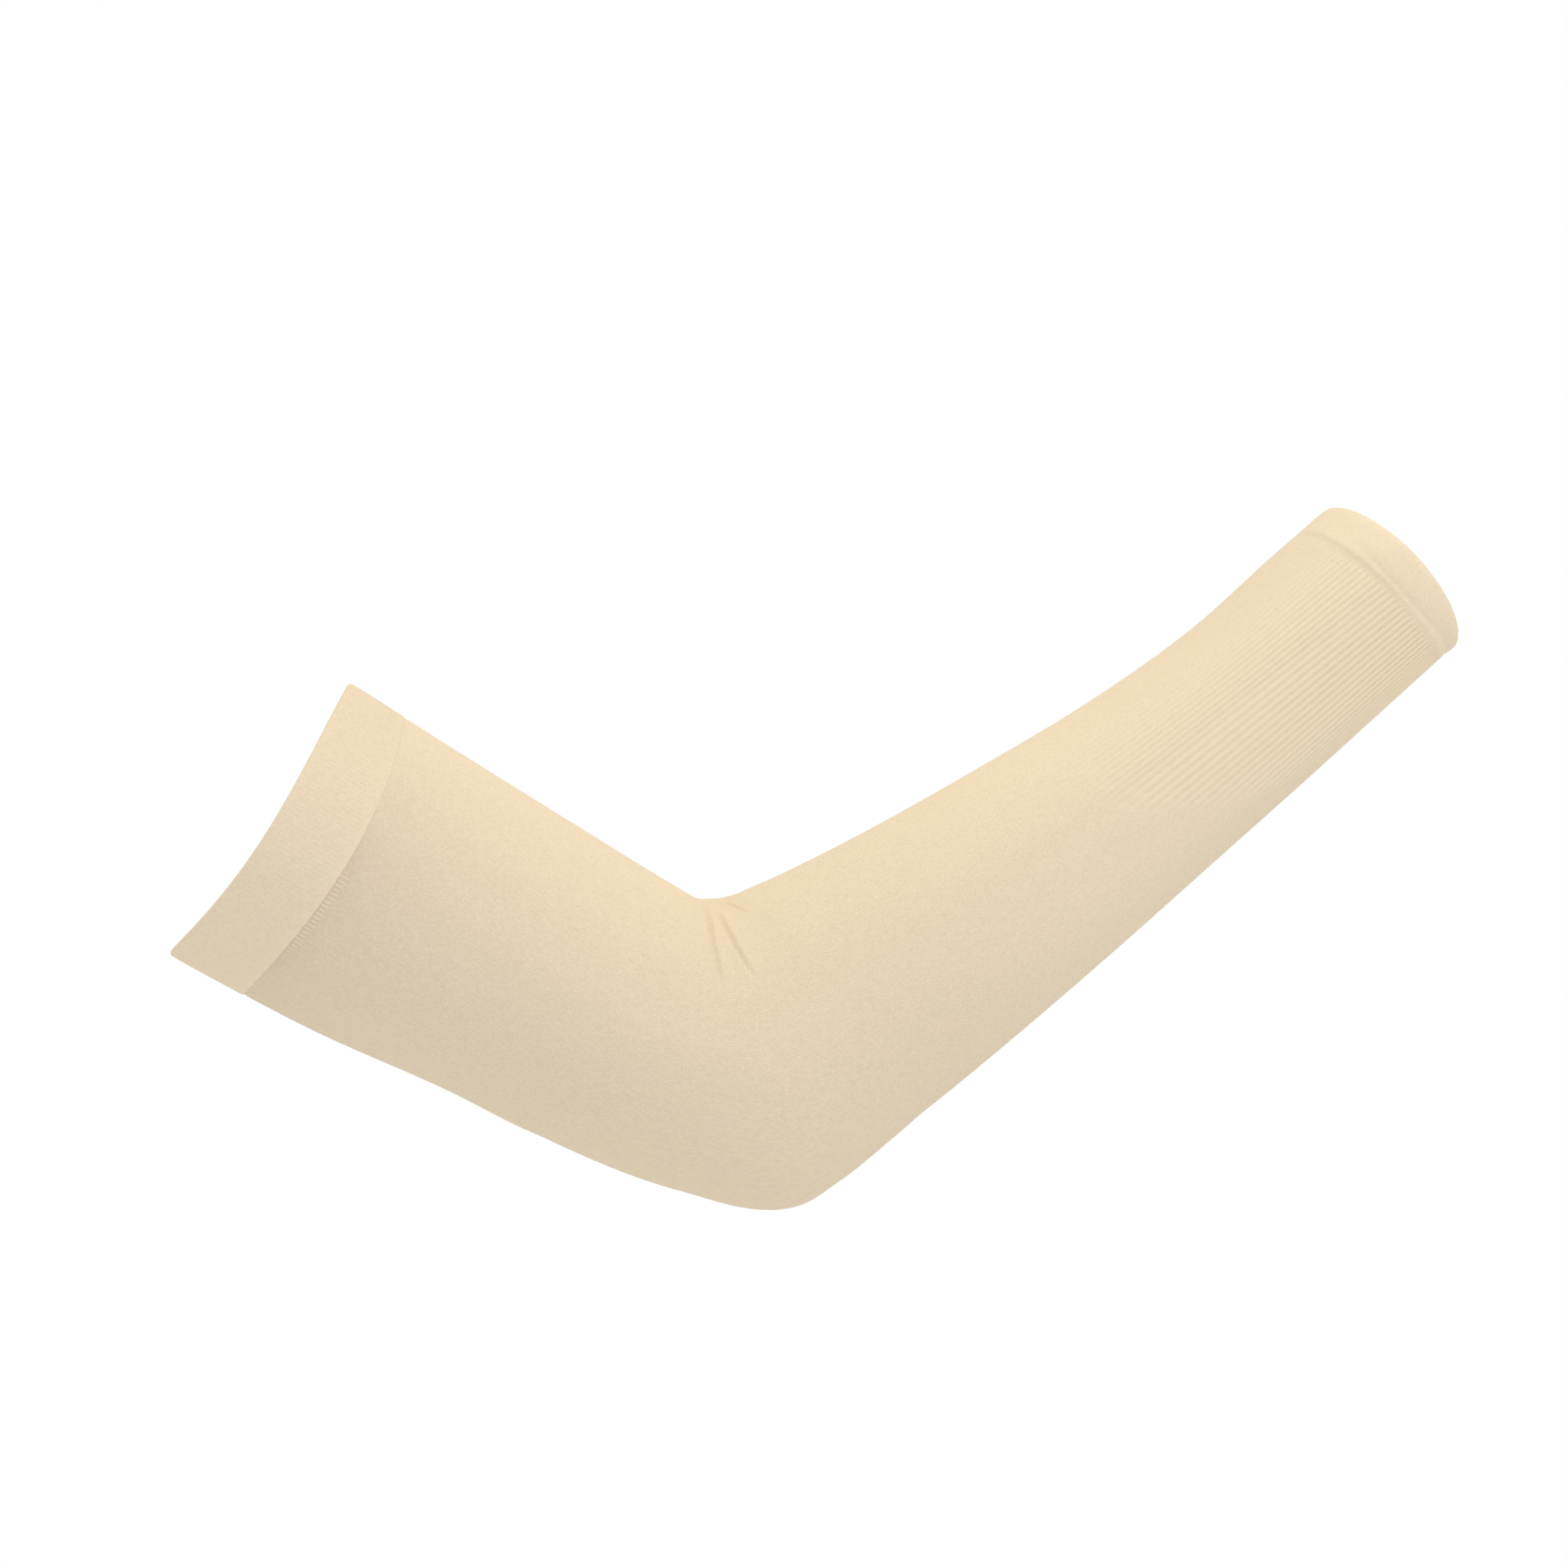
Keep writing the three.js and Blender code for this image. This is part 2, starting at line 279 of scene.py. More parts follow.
def run_tree(piece, tree, **sizes):
    """Puts a piece through a tree and keeps the plain mesh. Inputs go by small letters."""
    modifier = piece.modifiers.new(tree.name, "NODES")
    modifier.node_group = tree
    for socket in tree.interface.items_tree:
        label = socket.name.lower().replace(" ", "_")
        if socket.in_out == "INPUT" and label in sizes:
            modifier[socket.identifier] = sizes[label]
    graph = bpy.context.evaluated_depsgraph_get()
    made = bpy.data.meshes.new_from_object(piece.evaluated_get(graph))
    piece.modifiers.remove(modifier)
    rough = piece.data
    piece.data = made
    bpy.data.meshes.remove(rough)
    made.name = piece.name


# The knit's face: rows of V-shaped stitches that follow the turn round the arm and its length. Each
# wale has two slanted legs, and no two stitches take quite the same shade.
LEG_SLANT = 1.4
LOOP_DEPTH = 0.6
STITCH_WANDER = 0.9
WANDER_SCALE = 0.35
WANDER_DETAIL = 2
stitch_group = bpy.data.node_groups.new("jersey_stitch", "ShaderNodeTree")
stitch_sockets = {"Wales": "Float", "Courses per Metre": "Float", "Wander": "Float"}
add_sockets(stitch_group, "INPUT", stitch_sockets)
add_sockets(stitch_group, "OUTPUT", {"Height": "Float", "Shade": "Float", "Mottle": "Float"})


def stitch_maths(operation, *values):
    return maths(stitch_group, operation, *values)


stitch_in = stitch_group.nodes.new("NodeGroupInput").outputs
knit_place = add_node(stitch_group, "ShaderNodeUVMap", uv_map="Knit").outputs["UV"]
knit_axes = add_node(stitch_group, "ShaderNodeSeparateXYZ", {0: knit_place}).outputs
wale = stitch_maths("MULTIPLY", knit_axes["X"], stitch_in["Wales"])
course = stitch_maths("MULTIPLY", knit_axes["Y"], stitch_in["Courses per Metre"])
stitch_place = add_node(stitch_group, "ShaderNodeCombineXYZ", {"X": wale, "Y": course}).outputs[0]
wander = {"Vector": stitch_place, "Scale": WANDER_SCALE, "Detail": WANDER_DETAIL}
wander = add_node(stitch_group, "ShaderNodeTexNoise", wander, noise_dimensions="2D")
wander = stitch_maths("SUBTRACT", wander.outputs["Fac"], 0.5)
wander = stitch_maths("MULTIPLY", wander, stitch_in["Wander"])
leg = stitch_maths("ABSOLUTE", stitch_maths("SUBTRACT", stitch_maths("FRACT", wale), 0.5))
slanted = stitch_maths("ADD", stitch_maths("MULTIPLY_ADD", leg, LEG_SLANT, course), wander)
loop_wave = stitch_maths("COSINE", stitch_maths("MULTIPLY", slanted, 2 * math.pi))
loop_wave = stitch_maths("MULTIPLY_ADD", loop_wave, LOOP_DEPTH / 2, 1 - LOOP_DEPTH / 2)
leg_round = stitch_maths("SINE", stitch_maths("MULTIPLY", leg, 2 * math.pi))
loop_height = stitch_maths("MULTIPLY", leg_round, loop_wave)
loop_gap = stitch_maths("SUBTRACT", 1, loop_height)
half_wale = stitch_maths("FLOOR", stitch_maths("MULTIPLY", wale, 2))
stitch_cell = {"X": half_wale, "Y": stitch_maths("FLOOR", slanted)}
stitch_cell = add_node(stitch_group, "ShaderNodeCombineXYZ", stitch_cell).outputs[0]
mottle = {"Vector": stitch_cell}
mottle = add_node(stitch_group, "ShaderNodeTexWhiteNoise", mottle, noise_dimensions="2D")
stitch_made = {"Height": loop_height, "Shade": loop_gap, "Mottle": mottle.outputs["Value"]}
add_node(stitch_group, "NodeGroupOutput", stitch_made)

GAP_SHADE = 0.35
STITCH_MOTTLE = 0.3
STITCH_HEIGHT = 0.25 * MM
YARN_ROUGHNESS = 0.88
YARN_SPECULAR = 0.25


def knit_material(name, yarn, deep, wales, courses, relief):
    """Matte yarn, with painted shade between its stitches, and deeper in colour by the mark called
    tone, which also carries painted light and shade.
    """
    material = bpy.data.materials.new(name)
    material.use_nodes = True
    tree = material.node_tree
    tree.nodes.clear()
    stitch = {"Wales": wales, "Courses per Metre": courses, "Wander": STITCH_WANDER}
    stitch = add_node(tree, "ShaderNodeGroup", stitch, node_tree=stitch_group)
    tone = add_node(tree, "ShaderNodeAttribute", attribute_name="tone").outputs["Fac"]
    tone = maths(tree, "MULTIPLY_ADD", stitch.outputs["Shade"], GAP_SHADE, tone)
    tone = maths(tree, "MULTIPLY_ADD", stitch.outputs["Mottle"], STITCH_MOTTLE, tone)
    colour = add_node(tree, "ShaderNodeMix", {"Factor": tone}, data_type="RGBA")
    colour_from, colour_to = (x for x in colour.inputs if x.type == "RGBA")
    colour_from.default_value = yarn
    colour_to.default_value = deep
    face = {"Height": stitch.outputs["Height"], "Strength": relief, "Distance": STITCH_HEIGHT}
    bump = add_node(tree, "ShaderNodeBump", face)
    yarn_surface = {
        "Base Color": next(x for x in colour.outputs if x.type == "RGBA"),
        "Roughness": YARN_ROUGHNESS,
        "Specular IOR Level": YARN_SPECULAR,
        "Normal": bump.outputs["Normal"],
    }
    surface = add_node(tree, "ShaderNodeBsdfPrincipled", yarn_surface)
    add_node(tree, "ShaderNodeOutputMaterial", {"Surface": surface.outputs["BSDF"]})
    return material


# The tube's own colours and sizes, in millimetres, and in degrees from the inner side for places
# round the arm. Its tone goes from 0 for the yarn's colour to 1 for the deep one. Both its ends go
# on a little way under the cuffs.
BODY_YARN = (0.95, 0.792, 0.552, 1)
BODY_DEEP = (0.74, 0.605, 0.435, 1)
BODY_TONE = 0.06
# Painted light: the forearm is painted paler over FOREARM_SPAN and on to the wrist, as if it were
# lit more brightly.
FOREARM_PAINTED_LIGHT = 0.15
FOREARM_SPAN = (200, 290)
# Painted shade: the elbow's crease grooves are painted darker by their depth.
CREASE_PAINTED_SHADE = 0.35
BODY_RELIEF = 0.5
RIB_COUNT = 96
BODY_WALES = 3 * RIB_COUNT
COURSES = 1300
BODY_WALL = 1
BODY_AROUND = 5 * RIB_COUNT
LINING_STEP = 5
RIB_DEPTH = 0.4
# Painted light and shade on the ribs: the ribbed stretch is painted paler, and darker again in the
# valleys between the ribs.
RIB_PAINTED_LIGHT = -0.5
VALLEY_PAINTED_SHADE = 0.6
TUCK = 0.8
SEAM_DIP = 0.15
SEAM_DIP_WIDTH = 1.6
SEAM_STRIP = 4
# Painted shade along the wrist's sewn lines, where their grooves lie.
SEAM_PAINTED_SHADE = 0.3
SEAM_WIDTH = 1.6
# Painted shade: a narrow band of the body along the upper cuff's edge is painted darker.
WELT_PAINTED_SHADE = 0.35
WELT_SHADE_WIDTH = 2.5
WRIST_GROOVE_DEPTH = 0.45
WRIST_GROOVE_WIDTH = 3
# Painted shade: the body is painted darker beside the upper cuff, fading along the arm and
# strongest away from the inner side.
BY_WELT_PAINTED_SHADE = 0.3
BY_WELT_SHADE_REACH = 24
BY_WELT_SHADE_ROUND = (30, 100)
WRIST_GROOVE = moved(WRIST_WELT, -WRIST_GROOVE_WIDTH)

# How strongly the ribs show: by the share of their length, then by degrees from the inner side.
RIBS_ALONG = ((0, 0.12, 0.45, 0.75, 1), (0, 0.5, 0.6, 0.95, 1.05))
RIBS_ROUND = ((40, 62, 85, 110), (0, 0.6, 1, 1.6))

# Lines the mesh's rows run between, and the rows from each line to the next: closest together at
# the linking lines and over the creases.
BODY_ROWS = (
    (moved(UPPER_WELT, -TUCK), 2),
    (UPPER_WELT, 4),
    (moved(UPPER_WELT, SEAM_STRIP), 14),
    (ELBOW_START, 6),
    (CREASE_START, 60),
    (CREASE_STOP, 22),
    (ELBOW_STOP, 16),
    (RIB_START, 28),
    (WRIST_GROOVE, 9),
)
BODY_STOP = moved(WRIST_WELT, TUCK)

# How strongly the linking lines show, by degrees from the inner side.
WELT_SEEN = ((75, 104, 130, 152), (0, 1, 1, 0))
WRIST_SEAM_SEEN = ((0, 40, 65, 85, 105, 130), (0.2, 0.7, 1, 0.85, 0.3, 0.1))


def from_inner_side(angle):
    """Degrees from the inner side, the same on the near and the far side."""
    return np.degrees(math.pi - np.abs(angle - math.pi))


def wrist_groove(angle):
    """Depth of the groove along the wrist's seam."""
    return WRIST_GROOVE_DEPTH * np.interp(from_inner_side(angle), *WRIST_SEAM_SEEN)


def seam_painted_shade(line, at, angle):
    """Painted shade along one of the wrist's sewn lines, strongest where the lines show most."""
    seen = SEAM_PAINTED_SHADE * np.interp(from_inner_side(angle), *WRIST_SEAM_SEEN)
    return seen * np.exp(-(((at - line_at(line, angle)) / SEAM_WIDTH) ** 2))


body_angle = 2 * math.pi * np.arange(BODY_AROUND) / BODY_AROUND
body_lines = [line for line, _ in BODY_ROWS] + [BODY_STOP]
body_at = np.vstack([
    rows_between(body_lines[i], body_lines[i + 1], np.arange(rows) / rows, body_angle)
    for i, (_, rows) in enumerate(BODY_ROWS)
])
body_at = np.vstack([body_at, line_at(BODY_STOP, body_angle)])
upper_welt = line_at(UPPER_WELT, body_angle)
rib_start = line_at(RIB_START, body_angle)
rib_end = line_at(WRIST_GROOVE, body_angle)
wrist_welt = line_at(WRIST_WELT, body_angle)
body_crease = crease_lift(body_at, body_angle)
body_lift = -SEAM_DIP * ease(upper_welt + SEAM_DIP_WIDTH, upper_welt - TUCK, body_at)
body_lift += body_crease
body_lift -= wrist_groove(body_angle) * ease(rib_end, wrist_welt + TUCK, body_at)
body_side = from_inner_side(body_angle)
rib_share = (body_at - rib_start) / (rib_end - rib_start)
body_rib = np.interp(rib_share, *RIBS_ALONG) * np.interp(body_side, *RIBS_ROUND)
body_rib *= ease(wrist_welt, rib_end, body_at)
valley = 0.5 - 0.5 * np.cos(RIB_COUNT * body_angle)
# Painted shade beside the upper cuff, fading along the arm and strongest away from the inner side.
by_welt_shade = np.exp((upper_welt - body_at) / BY_WELT_SHADE_REACH) * ease(*BY_WELT_SHADE_ROUND, body_side)
# Painted light: the forearm is painted paler towards the wrist.
body_tone = BODY_TONE - FOREARM_PAINTED_LIGHT * ease(*FOREARM_SPAN, body_at)
# Painted shade: the crease grooves are painted darker by their depth.
body_tone += BY_WELT_PAINTED_SHADE * by_welt_shade - CREASE_PAINTED_SHADE * np.minimum(body_crease, 0)
# Painted light and shade: ribs painted paler, their valleys painted darker.
body_tone += (RIB_PAINTED_LIGHT + VALLEY_PAINTED_SHADE * valley) * body_rib
# Painted shade along the wrist's seam.
body_tone += seam_painted_shade(WRIST_WELT, body_at, body_angle)
# Painted shade in a narrow band along the upper cuff's edge.
welt_near = np.exp(-(((body_at - upper_welt) / WELT_SHADE_WIDTH) ** 2))
body_tone += WELT_PAINTED_SHADE * welt_near * np.interp(body_side, *WELT_SEEN)
lining = np.append(np.arange(0, len(body_at) - 1, LINING_STEP), len(body_at) - 1)[::-1]
body = knit_wall(
    "sleeve_body_knit",
    np.vstack([body_at, body_at[lining]]),
    np.vstack([body_lift, body_lift[lining] - BODY_WALL]),
    body_angle,
    rib=np.vstack([body_rib, np.zeros_like(body_at[lining])]),
    tone=np.vstack([body_tone, body_tone[lining]]),
)
body_knit = knit_material("body_jersey", BODY_YARN, BODY_DEEP, BODY_WALES, COURSES, BODY_RELIEF)
run_tree(body, rib_tree, rib_count=RIB_COUNT, rib_depth=RIB_DEPTH * MM, yarn=body_knit)
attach(body, "root")
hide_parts("sleeve_body")


# Upper cuff: a welt of the same yarn, knitted double and turned in at the upper-arm opening. Its
# knit is finely ribbed, and its linked edge stands up as a soft roll over the tube.
CUFF_WALL = 2
EDGE_ROUND = math.radians(80)
CUFF_FACE = (0.1, 0.92)
CUFF_RIB_ENDS = 0.2
CUFF_INNER_ROUND = (75, 25)
UPPER_CUFF_PROUD = 0.1
UPPER_CUFF_FLUSH = 0.4
UPPER_CUFF_STAND_ROUND = (40, 110)
UPPER_CUFF_CROWN = 0.2
UPPER_CUFF_ROLL = 0.15
UPPER_CUFF_ROLL_WIDTH = 3
UPPER_CUFF_ROUNDING = 1
UPPER_CUFF_RIBS = 208
UPPER_CUFF_RIB_DEPTH = 0.09
UPPER_CUFF_AROUND = 4 * UPPER_CUFF_RIBS
# Painted highlight: the welt is painted paler along its linked edge. Painted shade: its inner side
# is painted darker.
UPPER_CUFF_TONE = 0.12
UPPER_CUFF_INNER_SHADE = 0.3
UPPER_CUFF_HIGHLIGHT_WIDTH = 2.5
CUFF_YARN = (0.94, 0.785, 0.55, 1)
CUFF_DEEP = (0.77, 0.63, 0.445, 1)
CUFF_RELIEF = 0.3
CUFF_ROWS = 24
EDGE_ROWS = 9
LINK_ROWS = 5
LINING_ROWS = 6


def cuff_wall(name, edge, linked, rounding, face, tone, angle):
    """A doubled band, closed by a half round at its edge and turned down at its linking line.

    face and tone give its lift and tone at a distance along the arm and an angle round it."""
    edge_at, linked_at = line_at(edge, angle), line_at(linked, angle)
    way = np.sign(linked[0] - edge[0])
    edge_turn = np.linspace(-EDGE_ROUND, EDGE_ROUND, EDGE_ROWS)[:, None]
    link_turn = np.linspace(EDGE_ROUND, 0, LINK_ROWS)[:, None]
    share = np.linspace(*CUFF_FACE, CUFF_ROWS)[:, None]
    lining_share = np.linspace(*CUFF_FACE[::-1], LINING_ROWS)[:, None]
    face_at = edge_at + share * (linked_at - edge_at)
    lining_at = edge_at + lining_share * (linked_at - edge_at)
    edge_lift, linked_lift = face(edge_at, angle), face(linked_at, angle)
    at = np.vstack([
        edge_at + way * CUFF_WALL / 2 * (1 - np.cos(edge_turn)),
        face_at,
        linked_at - way * rounding * (1 - np.cos(link_turn)),
        lining_at,
    ])
    lift = np.vstack([
        edge_lift - CUFF_WALL / 2 * (1 - np.sin(edge_turn)),
        face(face_at, angle),
        linked_lift - rounding * (1 - np.sin(link_turn)),
        np.broadcast_to(edge_lift - CUFF_WALL, lining_at.shape),
    ])
    rib = np.zeros((len(at), 1))
    face_rows = slice(EDGE_ROWS, EDGE_ROWS + CUFF_ROWS)
    rib[face_rows] = ease(0, CUFF_RIB_ENDS, share) * ease(1, 1 - CUFF_RIB_ENDS, share)
    order = slice(None, None, int(way))
    marks = {"rib": rib[order], "tone": tone(at, angle)[order]}
    return knit_wall(name, at[order], lift[order], angle, **marks)


def upper_cuff_light_and_shade(at, angle):
    """A painted highlight along the welt's linked edge, and painted shade on its inner side."""
    edge_highlight = np.exp(-(((line_at(UPPER_WELT, angle) - at) / UPPER_CUFF_HIGHLIGHT_WIDTH) ** 2))
    inner = UPPER_CUFF_INNER_SHADE * ease(*CUFF_INNER_ROUND, from_inner_side(angle))
    return UPPER_CUFF_TONE * (1 - edge_highlight) + inner


def upper_face(at, angle):
    """The welt is lightly crowned, and its linked edge stands up less on the inner side."""
    edge_at, linked_at = line_at(UPPER_EDGE, angle), line_at(UPPER_WELT, angle)
    crown = UPPER_CUFF_CROWN * np.sin(math.pi * (at - edge_at) / (linked_at - edge_at))
    roll = UPPER_CUFF_ROLL * np.exp(-(((linked_at - at) / UPPER_CUFF_ROLL_WIDTH) ** 2))
    stand = ease(*UPPER_CUFF_STAND_ROUND, from_inner_side(angle))
    stand = UPPER_CUFF_FLUSH + (1 - UPPER_CUFF_FLUSH) * stand
    return stand * (UPPER_CUFF_PROUD + roll) + crown


cuff_angle = 2 * math.pi * np.arange(UPPER_CUFF_AROUND) / UPPER_CUFF_AROUND
upper_cuff = cuff_wall(
    "upper_cuff_welt",
    UPPER_EDGE,
    UPPER_WELT,
    UPPER_CUFF_ROUNDING,
    upper_face,
    upper_cuff_light_and_shade,
    cuff_angle,
)
cuff_knit = knit_material("cuff_welt", CUFF_YARN, CUFF_DEEP, UPPER_CUFF_RIBS, COURSES, CUFF_RELIEF)
run_tree(
    upper_cuff,
    rib_tree,
    rib_count=UPPER_CUFF_RIBS,
    rib_depth=UPPER_CUFF_RIB_DEPTH * MM,
    yarn=cuff_knit,
)
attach(upper_cuff, "root")
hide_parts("upper_cuff")


# Linking loops: the tube's first stitches, drawn up into the edge of the upper cuff. They are made
# of the tube's yarn and lie side by side along the welt, each a little longer or shorter.
LOOP_LENGTH = 3
LOOP_WIDTH = 0.8
LOOP_HEIGHT = 0.2
LOOP_MIDDLE = 1.2
LOOP_SINK = (0.24, 0.06)
LOOP_TONE = 0
LOOP_UNEVENNESS = 0.3
LOOP_SEED = 7
LOOP_SEGMENTS = 8
LOOP_RINGS = 6

# The loop tree lays one low, long drop of yarn on each point, along the point's own directions. The
# drop starts as a ball one across, so its scale is its size.
loop_tree = bpy.data.node_groups.new("linking_loops", "GeometryNodeTree")
loop_sockets = {
    "Line": "Geometry",
    "Length": "Float",
    "Width": "Float",
    "Height": "Float",
    "Unevenness": "Float",
    "Seed": "Int",
    "Tone": "Float",
    "Yarn": "Material",
}
add_sockets(loop_tree, "INPUT", loop_sockets)
add_sockets(loop_tree, "OUTPUT", {"Loops": "Geometry"})
loop_in = loop_tree.nodes.new("NodeGroupInput").outputs
drop = {"Segments": LOOP_SEGMENTS, "Rings": LOOP_RINGS, "Radius": 0.5}
drop = add_node(loop_tree, "GeometryNodeMeshUVSphere", drop).outputs["Mesh"]
drop = add_node(loop_tree, "GeometryNodeSetShadeSmooth", {"Geometry": drop}).outputs["Geometry"]
loop_up = {"Vector": read_mark(loop_tree, "out", "FLOAT_VECTOR")}
loop_up = add_node(loop_tree, "FunctionNodeAlignRotationToVector", loop_up, axis="Z")
loop_turned = {
    "Rotation": loop_up.outputs["Rotation"],
    "Vector": read_mark(loop_tree, "along", "FLOAT_VECTOR"),
}
loop_turned = add_node(
    loop_tree, "FunctionNodeAlignRotationToVector", loop_turned, axis="X", pivot_axis="Z"
)
loop_least = maths(loop_tree, "SUBTRACT", 1, loop_in["Unevenness"])
loop_most = maths(loop_tree, "ADD", 1, loop_in["Unevenness"])
loop_share = {2: loop_least, 3: loop_most, "Seed": loop_in["Seed"]}
loop_share = add_node(loop_tree, "FunctionNodeRandomValue", loop_share, data_type="FLOAT")
loop_size = {
    "X": maths(loop_tree, "MULTIPLY", loop_in["Length"], loop_share.outputs[1]),
    "Y": loop_in["Width"],
    "Z": loop_in["Height"],
}
loop_size = add_node(loop_tree, "ShaderNodeCombineXYZ", loop_size).outputs[0]
loop_laid = {
    "Points": loop_in["Line"],
    "Instance": drop,
    "Rotation": loop_turned.outputs["Rotation"],
    "Scale": loop_size,
}
loop_laid = add_node(loop_tree, "GeometryNodeInstanceOnPoints", loop_laid).outputs["Instances"]
loop_real = add_node(loop_tree, "GeometryNodeRealizeInstances", {"Geometry": loop_laid})
loop_marked = {
    "Geometry": loop_real.outputs["Geometry"],
    "Name": "tone",
    "Value": loop_in["Tone"],
}
loop_marked = add_node(
    loop_tree, "GeometryNodeStoreNamedAttribute", loop_marked, data_type="FLOAT", domain="POINT"
)
loop_dressed = {"Geometry": loop_marked.outputs["Geometry"], "Material": loop_in["Yarn"]}
loop_dressed = add_node(loop_tree, "GeometryNodeSetMaterial", loop_dressed).outputs["Geometry"]
add_node(loop_tree, "NodeGroupOutput", {"Loops": loop_dressed})

loop_angle = 2 * math.pi * np.arange(UPPER_CUFF_RIBS) / UPPER_CUFF_RIBS
loop_at = line_at(UPPER_WELT, loop_angle) + LOOP_MIDDLE
loop_seen = np.interp(from_inner_side(loop_angle), *WELT_SEEN)
loop_place = skin(loop_at, loop_angle, -np.interp(loop_seen, (0, 1), LOOP_SINK))
loop_line = bpy.data.meshes.new("linking_loops")
loop_line.from_pydata(loop_place, [], [])
loop_ways = {
    "out": skin(loop_at, loop_angle, 1) - skin(loop_at, loop_angle),
    "along": skin(loop_at + 1, loop_angle) - skin(loop_at, loop_angle),
}
for label, way in loop_ways.items():
    loop_line.attributes.new(label, "FLOAT_VECTOR", "POINT").data.foreach_set("vector", way.ravel())
loops = bpy.data.objects.new("linking_loops", loop_line)
bpy.context.scene.collection.objects.link(loops)
run_tree(
    loops,
    loop_tree,
    length=LOOP_LENGTH * MM,
    width=LOOP_WIDTH * MM,
    height=LOOP_HEIGHT * MM,
    unevenness=LOOP_UNEVENNESS,
    seed=LOOP_SEED,
    tone=LOOP_TONE,
    yarn=body_knit,
)
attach(loops, "root")


# Wrist cuff: a short welt of the same yarn, knitted double and turned in. A flat seam links it to
# the ribs, and past the seam's second line it puffs up and rolls in to the opening.
WRIST_ROUNDING = 0.4
WRIST_SEAM_RISE = 1.4
WRIST_PUFF_LINE = (411.6, -3.5, -4.4, 0)
WRIST_PUFF_LINE_DEPTH = 0.25
WRIST_PUFF_LINE_WIDTH = 0.8
# Painted shade: the welt is painted darker along its second sewn line and on its inner side.
WRIST_PUFF_LINE_SHADE = 0.5
WRIST_CUFF_INNER_SHADE = 0.1
WRIST_PUFF = 0.4
WRIST_PUFF_RUN = 4
WRIST_PUFF_START = (50, 75)
WRIST_ROLL_DROP = 1.3
WRIST_ROLL_RUN = 5
WRIST_ROLL_ROUNDNESS = 0.9


def wrist_puffed(angle):
    """The welt lies flat on the inner side and is puffed up further round."""
    return ease(*WRIST_PUFF_START, from_inner_side(angle))


def wrist_cuff_painted_shade(at, angle):
    """Painted shade along both sewn lines of the welt and on its inner side."""
    second = WRIST_PUFF_LINE_SHADE * wrist_puffed(angle) * seam_painted_shade(WRIST_PUFF_LINE, at, angle)
    inner = WRIST_CUFF_INNER_SHADE * ease(*CUFF_INNER_ROUND, from_inner_side(angle))
    return inner + seam_painted_shade(WRIST_WELT, at, angle) + second


def wrist_face(at, angle):
    """The welt rises out of its seam, puffs up past the second line and rolls in at its edge."""
    from_link = at - line_at(WRIST_WELT, angle)
    from_line = at - line_at(WRIST_PUFF_LINE, angle)
    to_edge = line_at(WRIST_EDGE, angle) - at
    seam = wrist_groove(angle) * (ease(0, WRIST_SEAM_RISE, from_link) - 1)
    line = WRIST_PUFF_LINE_DEPTH * np.exp(-((from_line / WRIST_PUFF_LINE_WIDTH) ** 2))
    puff = WRIST_PUFF * ease(0, WRIST_PUFF_RUN, from_line)
    inward = WRIST_ROLL_ROUNDNESS * np.clip(1 - to_edge / WRIST_ROLL_RUN, 0, 1) ** 2
    roll = WRIST_ROLL_DROP * (1 - np.sqrt(1 - inward))
    return seam + wrist_puffed(angle) * (puff - line) - roll


wrist_cuff = cuff_wall(
    "wrist_cuff_welt", WRIST_EDGE, WRIST_WELT, WRIST_ROUNDING, wrist_face, wrist_cuff_painted_shade, body_angle
)
wrist_cuff.data.materials.append(cuff_knit)
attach(wrist_cuff, "root")
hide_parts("wrist_cuff")


# Stage: a pale floor well below the sleeve, which is held up by the arm it is made for. Cool light
# comes evenly from all round, and warm light from overhead and from the front on the right.
FLOOR_DROP = 0.5
FLOOR_RADIUS = 3.4
FLOOR_FADE = 1.2
FLOOR_SIDES = 96
FLOOR_COLOUR = (0.9, 0.9, 0.9, 1)
floor_turn = 2 * math.pi * np.arange(FLOOR_SIDES) / FLOOR_SIDES
floor_level = np.full(FLOOR_SIDES, cad_box[0][2] - FLOOR_DROP)
floor_rim = FLOOR_RADIUS * np.stack([np.cos(floor_turn), np.sin(floor_turn)], axis=-1)
floor_rim = np.column_stack([floor_rim, floor_level])
floor_mesh = bpy.data.meshes.new("studio_floor")
floor_mesh.from_pydata(floor_rim, [], [range(FLOOR_SIDES)])
floor = bpy.data.objects.new("studio_floor", floor_mesh)
bpy.context.scene.collection.objects.link(floor)
floor_paint = bpy.data.materials.new("studio_floor")
floor_paint.use_nodes = True
floor_nodes = floor_paint.node_tree
floor_place = add_node(floor_nodes, "ShaderNodeTexCoord").outputs["Object"]
floor_out = {0: floor_place, 1: (1, 1, 0)}
floor_out = add_node(floor_nodes, "ShaderNodeVectorMath", floor_out, operation="MULTIPLY")
floor_out = {0: floor_out.outputs[0]}
floor_out = add_node(floor_nodes, "ShaderNodeVectorMath", floor_out, operation="LENGTH")
floor_seen = {"Value": floor_out.outputs["Value"], 1: FLOOR_FADE, 2: FLOOR_RADIUS, 3: 1, 4: 0}
floor_seen = add_node(
    floor_nodes, "ShaderNodeMapRange", floor_seen, interpolation_type="SMOOTHSTEP"
)
floor_shader = floor_nodes.nodes["Principled BSDF"]
floor_shader.inputs["Base Color"].default_value = FLOOR_COLOUR
floor_nodes.links.new(floor_seen.outputs[0], floor_shader.inputs["Alpha"])
floor_mesh.materials.append(floor_paint)

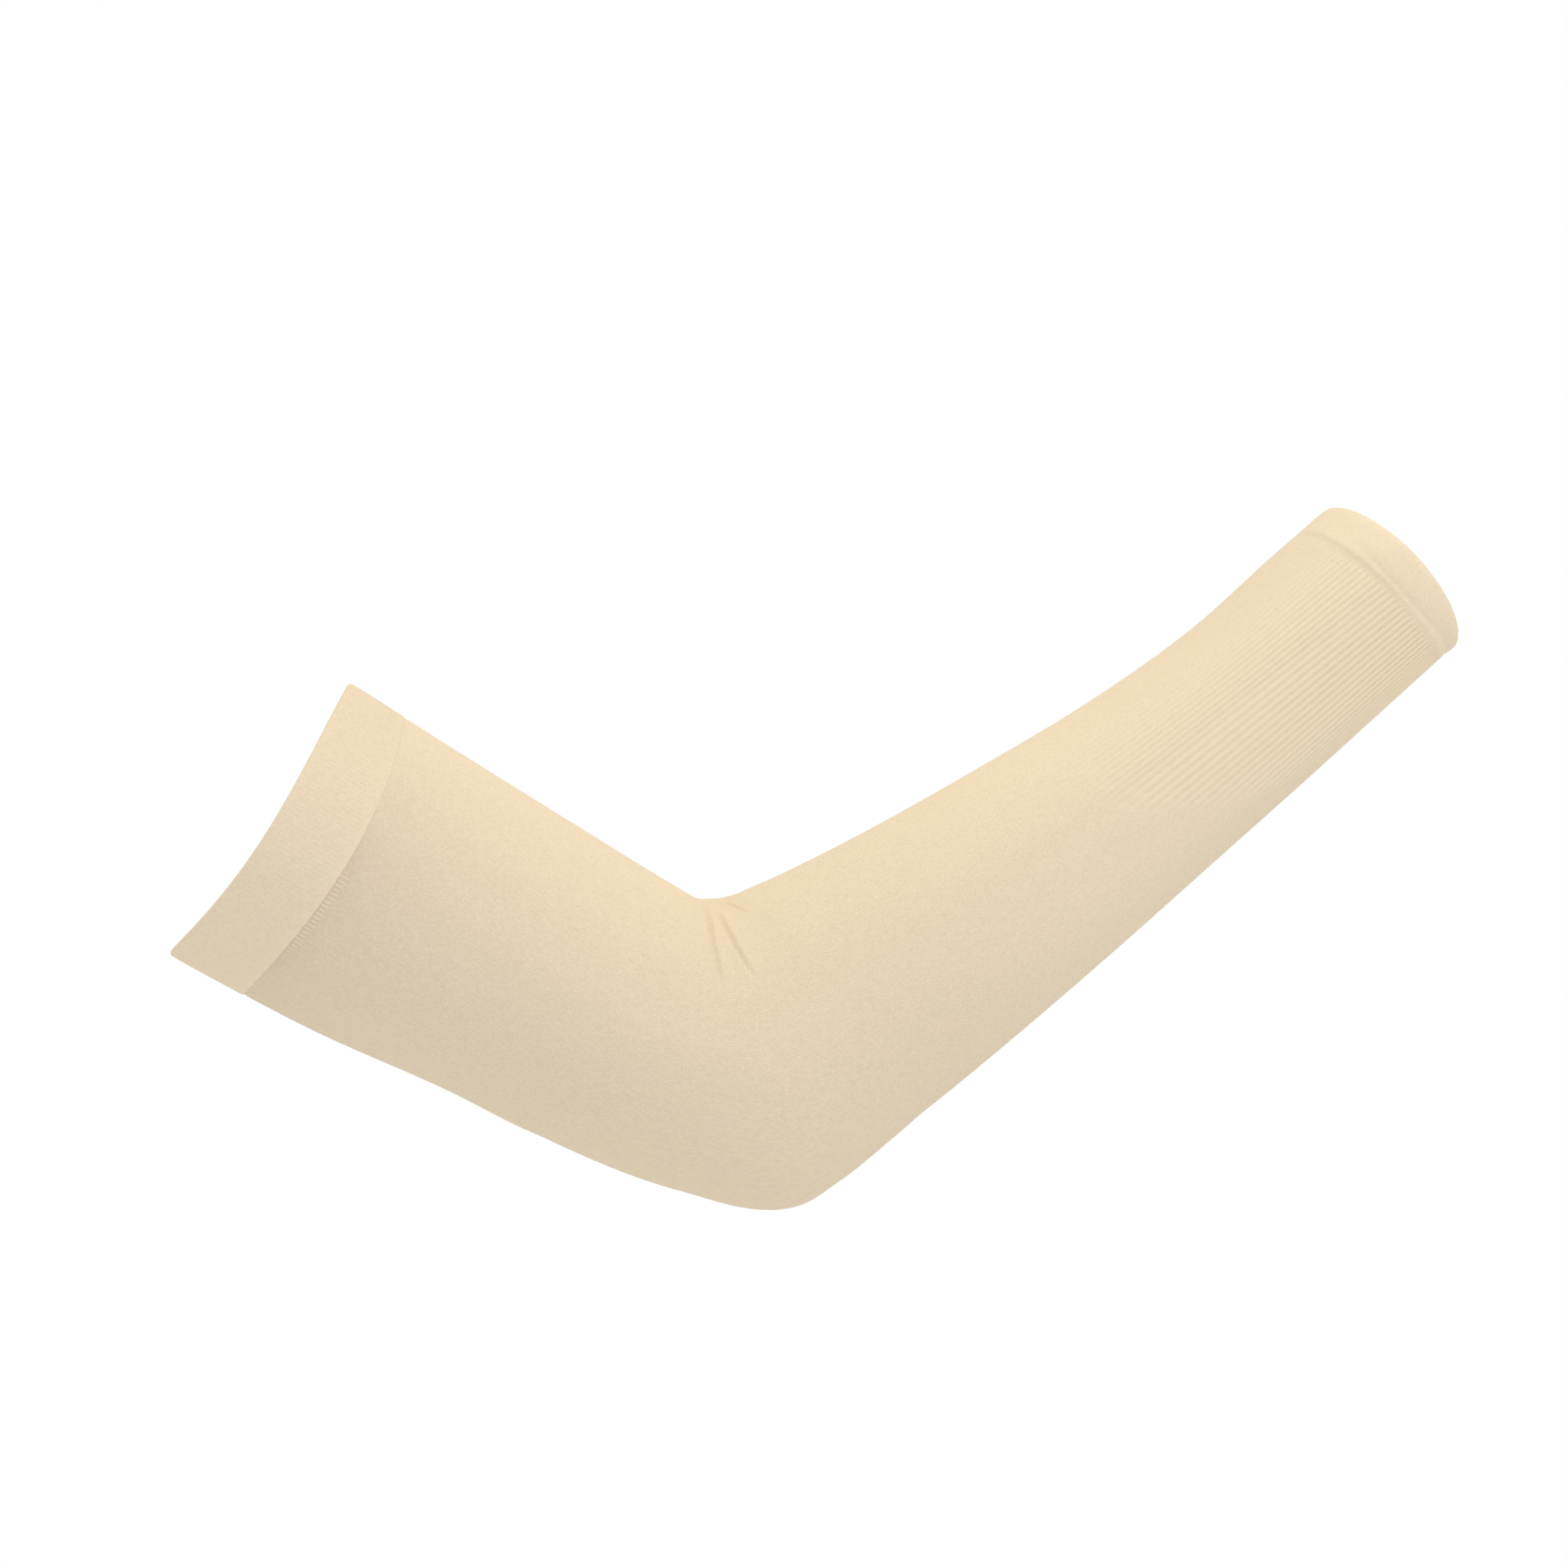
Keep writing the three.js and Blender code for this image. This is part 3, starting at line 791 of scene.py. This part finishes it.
# The camera sees plain white behind the sleeve, and all else sees the cool fill.
BACKDROP_COLOUR = (1, 1, 1, 1)
FILL_COLOUR = (0.79, 0.825, 0.892, 1)
world = bpy.data.worlds.new("studio")
bpy.context.scene.world = world
world.use_nodes = True
sky = world.node_tree
sky.nodes.clear()
backdrop = add_node(sky, "ShaderNodeBackground", {"Color": BACKDROP_COLOUR, "Strength": 1})
fill = add_node(sky, "ShaderNodeBackground", {"Color": FILL_COLOUR, "Strength": 1})
ray = add_node(sky, "ShaderNodeLightPath").outputs["Is Camera Ray"]
studio = {0: ray, 1: fill.outputs[0], 2: backdrop.outputs[0]}
studio = add_node(sky, "ShaderNodeMixShader", studio)
add_node(sky, "ShaderNodeOutputWorld", {"Surface": studio.outputs[0]})

LIGHT_SIZE = 1
sleeve_middle = (Vector(cad_box[0]) + Vector(cad_box[1])) / 2


def soft_light(name, place, energy, colour):
    """A square softbox that faces the sleeve from a place in metres from its middle."""
    data = bpy.data.lights.new(name, "AREA")
    data.size = LIGHT_SIZE
    data.energy = energy
    data.color = colour
    light = bpy.data.objects.new(name, data)
    light.location = sleeve_middle + Vector(place)
    light.rotation_euler = Vector(place).to_track_quat("Z", "Y").to_euler()
    bpy.context.scene.collection.objects.link(light)


soft_light("softbox", place=(0.64, -0.77, 0.83), energy=4.16, colour=(1, 0.89, 0.76))
soft_light("overhead", place=(-0.53, -0.08, 1.5), energy=5.3, colour=(1, 0.8, 0.38))

CAMERA_TURN = math.radians(-10)
CAMERA_RISE = math.radians(-6)
CAMERA_DISTANCE = 1.12
CAMERA_TARGET = Vector((0.1568, 0, 0.0125))
CAMERA_LENS = 85
CAMERA_SENSOR = 36
camera_data = bpy.data.cameras.new("camera")
camera_data.lens = CAMERA_LENS
camera_data.sensor_width = CAMERA_SENSOR
camera = bpy.data.objects.new("camera", camera_data)
camera_back = Vector((
    math.sin(CAMERA_TURN) * math.cos(CAMERA_RISE),
    -math.cos(CAMERA_TURN) * math.cos(CAMERA_RISE),
    math.sin(CAMERA_RISE),
))
camera.location = CAMERA_TARGET + CAMERA_DISTANCE * camera_back
camera.rotation_euler = camera_back.to_track_quat("Z", "Y").to_euler()
bpy.context.scene.collection.objects.link(camera)
bpy.context.scene.camera = camera
bpy.context.scene.view_settings.view_transform = "Standard"
